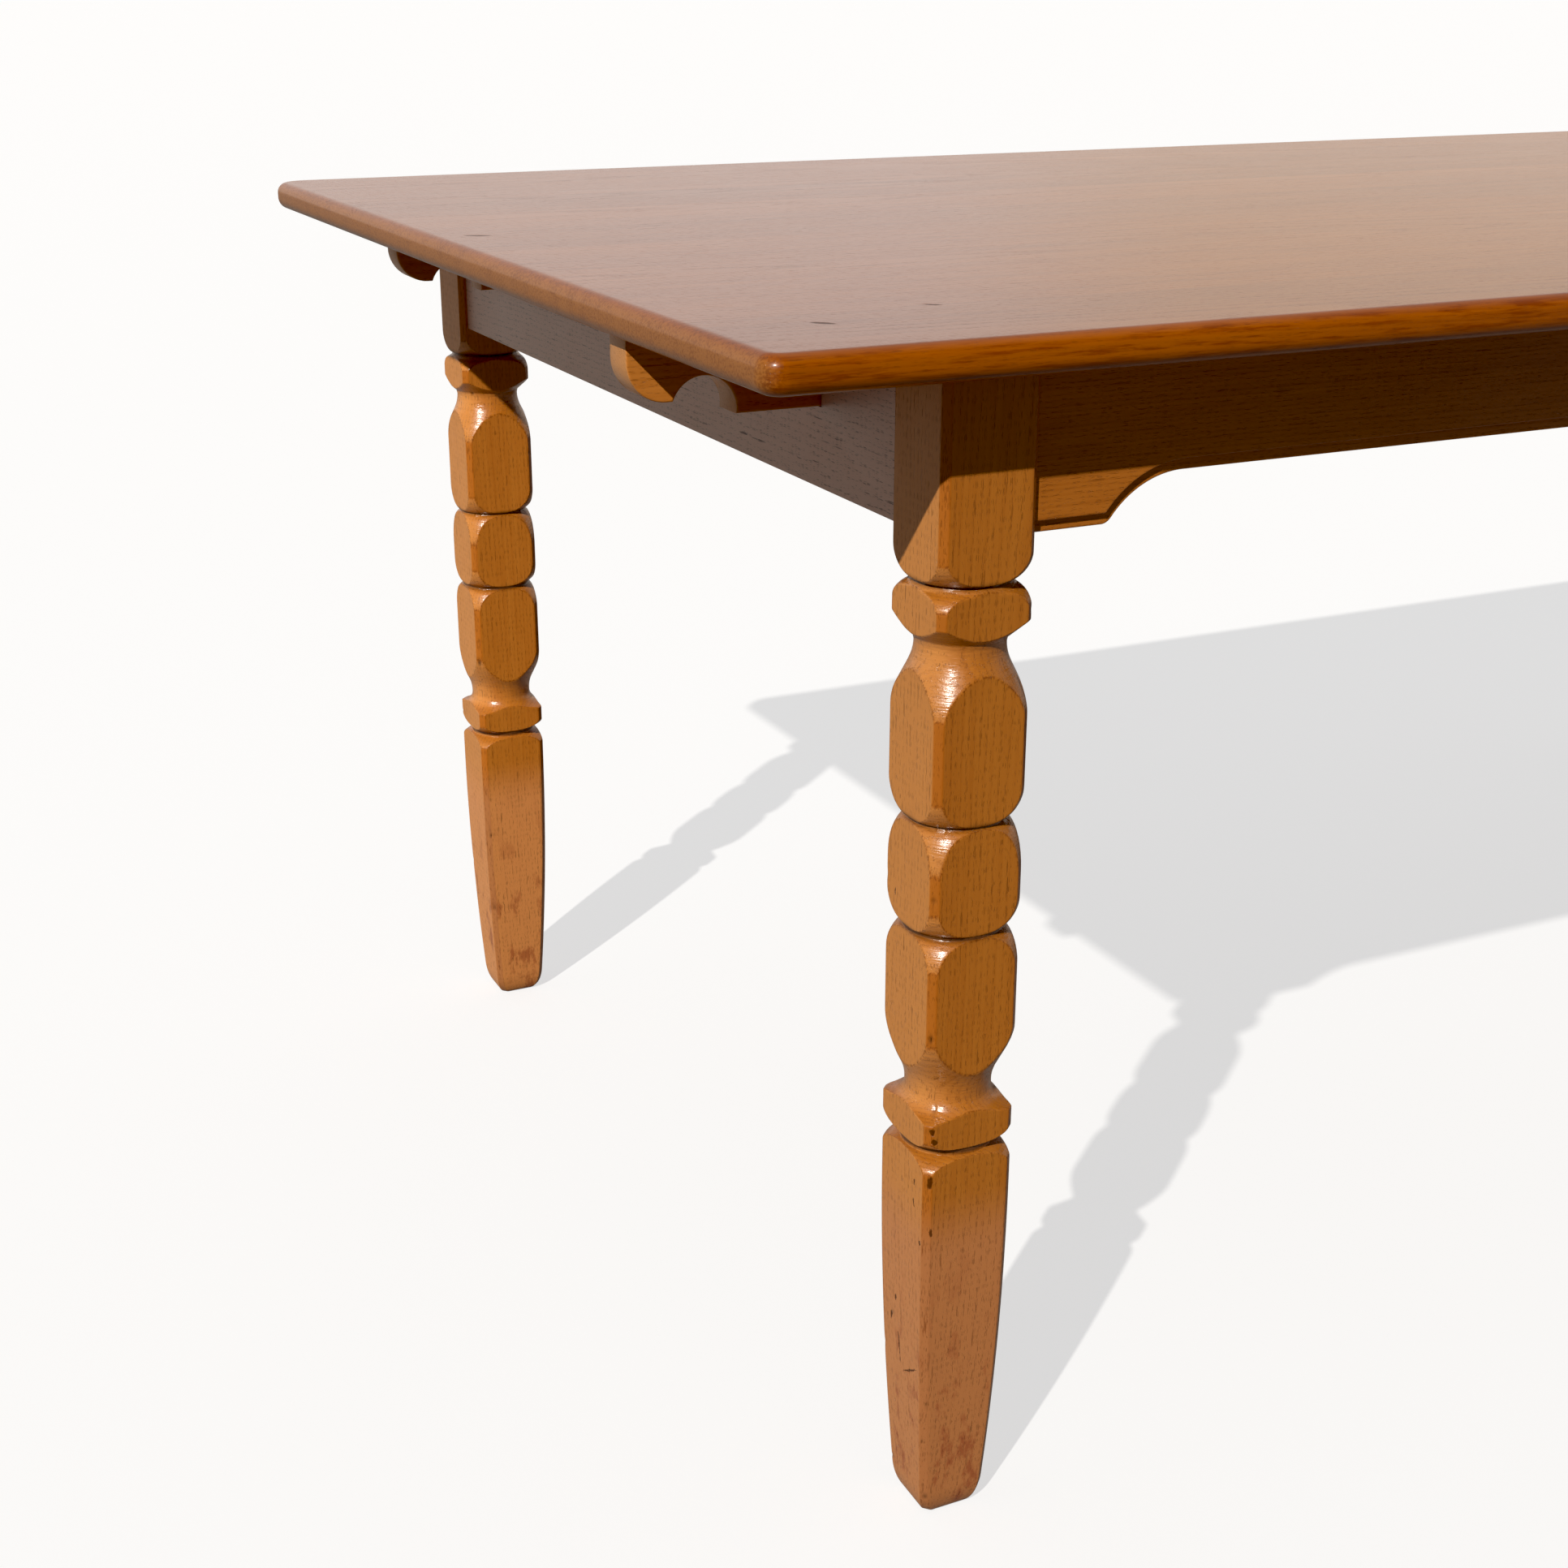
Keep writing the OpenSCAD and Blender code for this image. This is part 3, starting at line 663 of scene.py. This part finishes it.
def leg_rows(square, profile, foot_z, top):
    """Heights of the mesh's rows, one column per angle. The rows follow the curves where
    the lathe's profile meets the square, so that these edges stay crisp."""
    radii, heights = (np.array(v) for v in zip(*sorted(profile, key=lambda point: point[1])))
    inside = [i for i in range(1, len(radii) - 1) if foot_z <= heights[i] <= top - 1]
    lows = [i for i in inside if radii[i] < radii[i - 1] and radii[i] <= radii[i + 1]]
    steps = np.zeros_like(square)
    sole = SOLE_RISE * (1 - np.cos(np.linspace(0, math.pi / 2, SOLE_ROWS + 1)))
    curves = [steps + z for z in sole]
    last = curves[-1]

    def span(stop, shares):
        return [last + (stop - last) * share for share in shares[1:]]

    start = 0
    for low in lows + [None]:
        stop = len(radii) - 1 if low is None else low
        peak = start + int(np.argmax(radii[start:stop + 1]))
        plateau = [i for i in range(start, stop + 1) if radii[i] > radii[peak] - 1e-6]
        if start:
            rising = np.interp(square, radii[start:plateau[0] + 1],
                               heights[start:plateau[0] + 1])
            curves += span(rising, eased_steps(TURNED_ROWS))
            last = curves[-1]
        if low is None:
            curves += span(steps + top, eased_steps(BLOCK_ROWS))
            break
        falling = np.interp(square, radii[plateau[-1]:stop + 1][::-1],
                            heights[plateau[-1]:stop + 1][::-1])
        flat_rows = 10 + int((falling - last).max() / FLAT_ROW)
        curves += span(falling, eased_steps(flat_rows))
        last = curves[-1]
        curves += span(steps + heights[low], eased_steps(TURNED_ROWS))
        last = curves[-1]
        start = low
    rows = np.array(curves)
    # A hair apart, so that rows that meet don't leave faces without an area
    return rows + np.arange(len(rows))[:, None] * ROW_GAP


def build_leg(corner, seed):
    """The leg's mesh, with its dents, and its marks as attributes for the material."""
    node = f"leg_{corner}"
    low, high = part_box(node)
    centre = (low + high) / 2
    side = (high.x - low.x) / MM
    top = high.z / MM
    apron_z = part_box("apron_front")[0].z / MM
    block_z = apron_z - BLOCK_DROP
    foot_z = block_z - FOOT_DROP
    profile = turned_profile(block_z, side, top)

    def square_radius(rows, angle, round_over=0.0):
        """Radius of the chamfered square, which narrows down the foot."""
        half = half_width(rows, side / 2, foot_z)
        arris = half_width(rows, (side - LEG_CHAMFER) / math.sqrt(2), foot_z, math.sqrt(2))
        turn = (angle + math.pi / 4) % (math.pi / 2) - math.pi / 4
        flat = half / np.cos(turn)
        diagonal = arris / np.cos(math.pi / 4 - np.abs(turn))
        return soft_min(flat, diagonal, np.maximum(round_over, 1e-6))

    def around(rows):
        """Angles that keep to the edges of the chamfers at each height."""
        half = half_width(rows, side / 2, foot_z)
        arris = half_width(rows, (side - LEG_CHAMFER) / math.sqrt(2), foot_z, math.sqrt(2))
        chamfer = np.clip(2 * half - math.sqrt(2) * arris, 0.5, None)
        corner_at = np.arctan((half - chamfer) / half)
        face = np.sin(np.linspace(-1, 1, FACE_STEPS + 1)[:-1] * math.pi / 2)
        over = eased_steps(ARRIS_STEPS)[:-1]
        quarter = np.hstack((face, 1 + over))
        share = np.tile(quarter, 4)
        spin = np.repeat(np.arange(4) * math.pi / 2, len(quarter))
        on_face = share < 1
        angle = np.where(on_face, corner_at * share,
                         corner_at + (math.pi / 2 - 2 * corner_at) * (share - 1))
        return angle + spin, corner_at

    upright, _ = around(np.full((1, 1), foot_z))
    rows = leg_rows(square_radius(np.full_like(upright, foot_z), upright)[0], profile,
                    foot_z, top)
    angle, corner_at = around(rows)
    turn = (angle + math.pi / 4) % (math.pi / 2) - math.pi / 4

    # The arrises are worn more at some places than at others
    rng = np.random.RandomState(seed)
    wear = np.zeros_like(angle)
    for _ in range(WEAR_WAVES):
        pitch, spin, start = rng.uniform(0.01, 0.07), rng.randint(1, 4), rng.uniform(0, 6.28)
        wear += np.sin(rows * pitch + spin * angle + start)
    wear = np.clip(0.5 + wear / 5, 0, 1)
    square = square_radius(rows, angle, round_over=0.3 + 0.45 * wear)
    radii, heights = zip(*sorted(profile, key=lambda point: point[1]))
    lathe = np.interp(rows, heights, radii)
    radius = soft_min(square, lathe, 0.25 + 0.25 * wear)

    dent = np.zeros_like(radius)
    for _ in range(DENT_COUNT):
        z, about = rng.uniform(4, block_z), rng.randint(4) * math.pi / 2
        on_arris = rng.rand() < 0.7
        about += math.pi / 4 + rng.normal(0, 0.05) if on_arris else rng.uniform(-0.6, 0.6)
        tall, wide, deep = rng.uniform(0.8, 3.2), rng.uniform(0.6, 1.6), rng.uniform(0.2, 0.8)
        if z > foot_z and not on_arris:
            deep *= 0.4
        gap = (angle - about + math.pi) % (2 * math.pi) - math.pi
        spot = np.exp(-((rows - z) / tall) ** 2 - (gap * radius / wide) ** 2)
        radius = radius - deep * spot
        dent = np.maximum(dent, spot * min(1.0, deep * 1.3))

    # Attributes: painted shade in grooves, turned wood, the torn edge of the turning, worn
    # arrises
    groove_lines = [(heights[i] + heights[i + 1]) / 2 for i in range(1, len(radii) - 1)
                    if radii[i - 1] > radii[i] <= radii[i + 1] and radii[i] > NECK_R + 1]
    crevice = sum(np.exp(-((rows - z) / GROOVE_SHADE_WIDTH) ** 2) for z in groove_lines)
    gap = square - lathe
    turned = np.clip(gap / 0.8, 0, 1)
    seam = np.exp(-(gap / 0.5) ** 2) * (lathe < side * RIM_SHARE - 0.4)
    edge = np.clip(1 - np.abs(np.abs(turn) - math.pi / 4)
                   / (math.pi / 4 - corner_at + 0.02), 0, 1)
    edge = np.clip(edge * 4, 0, 1) * (square < lathe + 0.3)

    count = angle.shape[1]
    points = np.stack((radius * np.cos(angle), radius * np.sin(angle), rows), 2)
    points = points.reshape(-1, 3) * MM
    points[:, 0] += centre.x
    points[:, 1] += centre.y
    index = np.arange(len(rows) * count).reshape(len(rows), count)
    right = np.roll(index, -1, 1)
    walls = np.stack((index[:-1], right[:-1], right[1:], index[1:]), 2).reshape(-1, 4)
    faces = walls.tolist() + [index[0][::-1].tolist(), index[-1].tolist()]
    mesh = bpy.data.meshes.new(node)
    mesh.from_pydata(points.tolist(), [], faces)
    layers = {"crevice": crevice, "edge": edge, "dent": dent, "turned": turned, "seam": seam}
    for name, values in layers.items():
        layer = mesh.attributes.new(name, "FLOAT", "POINT")
        layer.data.foreach_set("value", values.ravel().astype(np.float32))
    pith = (centre.x + rng.choice((-1, 1)) * rng.uniform(0.05, 0.12),
            centre.y + rng.uniform(0.06, 0.13), rng.uniform(-3, 3))
    light = BACK_LEFT_LIGHT if corner == "back_left" else 1.0

    def tint(red, green, blue):
        return (red * light, green * light, blue * light, 1)

    # side: faces towards the ends are paler, partly painted sheen standing in for reflected
    # light
    material = oak(f"oak_{node}", "z", pith, tint(0.47, 0.163, 0.024),
                   tint(0.36, 0.105, 0.013), arris=tint(0.36, 0.096, 0.006),
                   side=tint(0.72, 0.31, 0.085), fade_at=foot_z * MM,
                   faded=tint(0.58 * light, 0.238 * light, 0.102), coat=0.35,
                   turned_coat=0.6, gloss=0.24, contrast=0.7, pore_depth=0.2,
                   pore_dark=0.45,
                   scars=LEG_SCARS if corner == "front_left" else ())
    finish_piece(f"turned_{node}", mesh, node, material, sharp=60)


# ---------------------------------------------------------------- aprons and lopers

def long_apron_outline(half, low, high, inset):
    """Counter-clockwise outline of a long apron; inset moves its lower edge up."""
    arc_x, arc_z = half - ARCH_MARGIN, low + ARCH_RISE - ARCH_R
    arc_r = ARCH_R + inset
    foot_r = max(STEP_H + 1 - inset, 0.1)
    base = low + inset
    round_z = base + foot_r
    round_x = arc_x + math.sqrt((arc_r + foot_r) ** 2 - (round_z - arc_z) ** 2)
    meet = math.degrees(math.atan2(round_z - arc_z, round_x - arc_x))
    right = ([(half, base)]
             + arc((round_x, round_z), foot_r, -90, meet - 180, ARCH_FOOT_STEPS)
             + arc((arc_x, arc_z), arc_r, meet, 90, ARCH_STEPS))
    left = [(-x, z) for x, z in right]
    return left + right[::-1] + [(half, high), (-half, high)]


def build_long_apron(side_name, way, seed):
    """way is -1 for the front apron and 1 for the back one."""
    node = f"apron_{side_name}"
    low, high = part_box(node)
    half = high.x / MM
    face = (low.y if way < 0 else high.y) / MM
    thick = (high.y - low.y) / MM
    eased = rounding(APRON_EASE)
    layers = [(STEP_H + APRON_EASE + 1, 0)]
    layers += [(STEP_H + inset, depth) for inset, depth in eased]
    layers += [(STEP_H, STEP_D), (APRON_EASE + 0.6, STEP_D)]
    layers += [(inset, STEP_D + depth) for inset, depth in eased]
    layers += [(inset, thick - depth) for inset, depth in eased[::-1]]
    layers += [(APRON_EASE + 1, thick)]
    bm = bmesh.new()
    loops = []
    for inset, depth in layers:
        outline = long_apron_outline(half, low.z / MM, high.z / MM, inset)
        loops.append([Vector((x, face - way * depth, z)) * MM for x, z in outline])
    add_loft(bm, loops)
    rng = np.random.RandomState(seed)
    pith = (rng.uniform(-2, 2), face * MM + way * 0.05, low.z - rng.uniform(0.02, 0.12))
    material = oak(f"oak_{node}", "x", pith, (0.46, 0.15, 0.020, 1), (0.28, 0.072, 0.006, 1))
    finish_mesh(f"arched_{node}", bm, node, material)


def loper_outline(length, low, high):
    """Counter-clockwise side view with the tip at x = 0."""
    tip_z, notch_z = high - TIP_H, low + NOTCH_RISE
    start = 180 - math.degrees(math.asin((tip_z - notch_z) / NOTCH_R))
    stop = -math.degrees(math.asin(NOTCH_RISE / NOTCH_R))
    return ([(length, high), (0, high)]
            + arc((TIP_ROUND, tip_z + TIP_ROUND), TIP_ROUND, 180, 270, TIP_STEPS)
            + arc((NOTCH_X, notch_z), NOTCH_R, start, stop, NOTCH_STEPS)
            + [(length, low)])


def build_loper(corner, seed):
    """A loper, whose tip points out of the table's nearer end."""
    node = f"loper_{corner}"
    low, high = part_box(node)
    way = 1 if "left" in corner else -1
    tip = (low.x if way > 0 else high.x) / MM
    outline = loper_outline((high.x - low.x) / MM, low.z / MM, high.z / MM)
    bm = bmesh.new()
    add_loft(bm, [
        [Vector((tip + way * x, y, z)) * MM for x, z in loop]
        for loop, y in eased_layers(outline, low.y / MM, high.y / MM, LOPER_EASE)
    ])
    rng = np.random.RandomState(seed)
    pith = (rng.uniform(-2, 2), (low.y + high.y) / 2 + rng.uniform(0.03, 0.1),
            low.z - rng.uniform(0.0, 0.05))
    material = oak(f"oak_{node}", "x", pith, (0.60, 0.22, 0.040, 1), (0.42, 0.13, 0.018, 1),
                   side=(0.62, 0.31, 0.12, 1))
    finish_mesh(f"notched_{node}", bm, node, material)


# ---------------------------------------------------------------- CAD parts that stay

def ease_node(node, material, width, segments=2):
    """Gives a CAD node its material and rounds its edges over."""
    piece = frame["nodes"][node]
    piece.data.materials.clear()
    piece.data.materials.append(material)
    piece.data.shade_smooth()
    weld = piece.modifiers.new("weld", "WELD")
    weld.merge_threshold = 0.005 * MM
    bevel = piece.modifiers.new("ease", "BEVEL")
    bevel.width = width * MM
    bevel.segments = segments
    bevel.limit_method = "ANGLE"
    bevel.angle_limit = math.radians(40)
    bevel.harden_normals = True


def dress_cad_parts():
    """End aprons, cross rails, braces, pegs, buttons and hardware."""
    for name, way in (("left", -1), ("right", 1)):
        low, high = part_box(f"apron_{name}")
        pith = (low.x - way * 0.08, 1.7 * way, low.z - 0.05)
        # Painted sheen: paler, greyer colours stand in for the grey reflection the shaded faces
        # show
        material = oak(f"oak_apron_{name}", "y", pith, (0.56, 0.26, 0.12, 1),
                       (0.40, 0.17, 0.07, 1), side=(0.80, 0.56, 0.48, 1), coat=1.0,
                       gloss=0.34, pore_dark=0.88)
        ease_node(f"apron_{name}", material, 0.7, 3)
    beech_pale, beech_deep = (0.60, 0.38, 0.20, 1), (0.48, 0.27, 0.13, 1)
    for name in ("left", "right"):
        low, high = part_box(f"cross_rail_{name}")
        rail = plain_wood(f"beech_rail_{name}", "y", (low.x - 0.07, 0.3, low.z - 0.1),
                          beech_pale, beech_deep)
        ease_node(f"cross_rail_{name}", rail, 0.8)
    for node in BODY_OF:
        low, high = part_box(node)
        middle = (low + high) / 2
        if node.startswith("brace_") and node != "brace_screws":
            wood = plain_wood(f"beech_{node}", "x", middle + Vector((0.5, 0.1, -0.06)),
                              beech_pale, beech_deep)
            ease_node(node, wood, 0.8)
        if node.startswith("stop_peg"):
            wood = plain_wood(f"beech_{node}", "y", middle + Vector((0.03, 0, 0.02)),
                              beech_pale, beech_deep)
            ease_node(node, wood, 0.6)
    buttons = plain_wood("beech_buttons", "y", (0.4, 0.2, 0.5), beech_pale, beech_deep)
    ease_node("top_buttons", buttons, 0.6)
    steel = zinc("zinc_steel")
    for node in ("hanger_bolts", "hanger_washers", "hanger_nuts", "brace_screws",
                 "button_screws"):
        ease_node(node, steel, 0.25)


# ---------------------------------------------------------------- stage

def build_floor():
    """A pale floor. The camera sees it glow a little, so that shadows on it are faint."""
    mesh = bpy.data.meshes.new("floor")
    reach = 90.0
    mesh.from_pydata([(-reach, -reach, 0), (reach, -reach, 0), (reach, reach, 0),
                      (-reach, reach, 0)], [], [(0, 1, 2, 3)])
    floor = bpy.data.objects.new("floor", mesh)
    bpy.context.scene.collection.objects.link(floor)
    material = bpy.data.materials.new("floor")
    material.use_nodes = True
    g = Graph(material.node_tree)
    shader = material.node_tree.nodes["Principled BSDF"]
    rays = g.node("ShaderNodeLightPath").outputs
    pale, glossy, dim = (0.34, 0.34, 0.34, 1), (0.34, 0.32, 0.3, 1), (0.08, 0.078, 0.075, 1)
    colour = g.mix(rays["Is Glossy Ray"], dim, glossy)
    colour = g.mix(rays["Is Camera Ray"], colour, pale)
    g.put(shader.inputs["Base Color"], colour)
    g.put(shader.inputs["Roughness"], 0.9)
    g.put(shader.inputs["Emission Color"], (1, 1, 1, 1))
    g.put(shader.inputs["Emission Strength"], g.math("MULTIPLY", rays["Is Camera Ray"], 0.65))
    mesh.materials.append(material)


# Directions in the table's frame: to the sun, to the back of the room, and to its right
SUN_WAY = Vector((-0.596, -0.514, 0.617))
BACK_WAY = (0.43, 0.9, 0.0)
RIGHT_WAY = (0.905, -0.426, 0.0)


def build_light():
    """A sun, and a sky that is pale near the ground, dim behind the camera and has a
    warmer band low on the right. The camera itself sees white."""
    lamp = bpy.data.lights.new("sun", "SUN")
    lamp.energy = 3.6
    lamp.angle = math.radians(0.7)
    lamp.color = (1.0, 0.96, 0.9)
    sun = bpy.data.objects.new("sun", lamp)
    sun.rotation_euler = SUN_WAY.to_track_quat("Z", "Y").to_euler()
    bpy.context.scene.collection.objects.link(sun)

    world = bpy.data.worlds.new("studio")
    bpy.context.scene.world = world
    world.use_nodes = True
    g = Graph(world.node_tree)
    background = world.node_tree.nodes["Background"]
    way = g.node("ShaderNodeTexCoord").outputs["Generated"]
    height = g.split(way)[2]
    sky = g.mix(g.smooth(height, -0.02, 0.55), (0.86, 0.79, 0.74, 1), (0.30, 0.30, 0.31, 1))
    toward = g.vector("DOT_PRODUCT", way, BACK_WAY)
    behind = g.mix(1.0, sky, (0.13, 0.13, 0.13, 1), "MULTIPLY")
    sky = g.mix(g.smooth(toward, -0.9, 0.6), behind, sky)
    right = g.vector("DOT_PRODUCT", way, RIGHT_WAY)
    band = g.math("MULTIPLY", g.smooth(height, 0.065, 0.1),
                  g.math("SUBTRACT", 1.0, g.smooth(height, 0.13, 0.24)))
    band = g.math("MULTIPLY", band, g.smooth(right, 0.03, 0.2))
    sky = g.mix(band, sky, g.mix(1.0, sky, (0.93, 0.80, 0.60, 1), "MULTIPLY"))
    rays = g.node("ShaderNodeLightPath").outputs
    g.put(background.inputs["Color"], g.mix(rays["Is Camera Ray"], sky, (1, 1, 1, 1)))


def build_camera():
    """Stands to the left of the front of the table, a little above its top."""
    heading, drop = math.radians(25.24), math.radians(20.25)
    data = bpy.data.cameras.new("camera")
    data.lens = 50.82
    data.sensor_width = 36
    data.clip_end = 300
    camera = bpy.data.objects.new("camera", data)
    camera.location = (-1.3318, -1.4362, 0.9144)
    camera.rotation_euler = (math.pi / 2 - drop, 0, -heading)
    bpy.context.scene.collection.objects.link(camera)
    bpy.context.scene.camera = camera


# ---------------------------------------------------------------- build everything

build_top()
for seed, name in enumerate(("front_left", "front_right", "back_left", "back_right")):
    build_leg(name, 31 + seed)
    build_loper(name, 51 + seed)
build_long_apron("front", -1, 71)
build_long_apron("back", 1, 72)
dress_cad_parts()
build_floor()
build_light()
build_camera()
look = bpy.context.scene.view_settings
look.view_transform = "Standard"
look.use_curve_mapping = True
look.curve_mapping.black_level = (0.010, 0.010, 0.010)
look.curve_mapping.update()
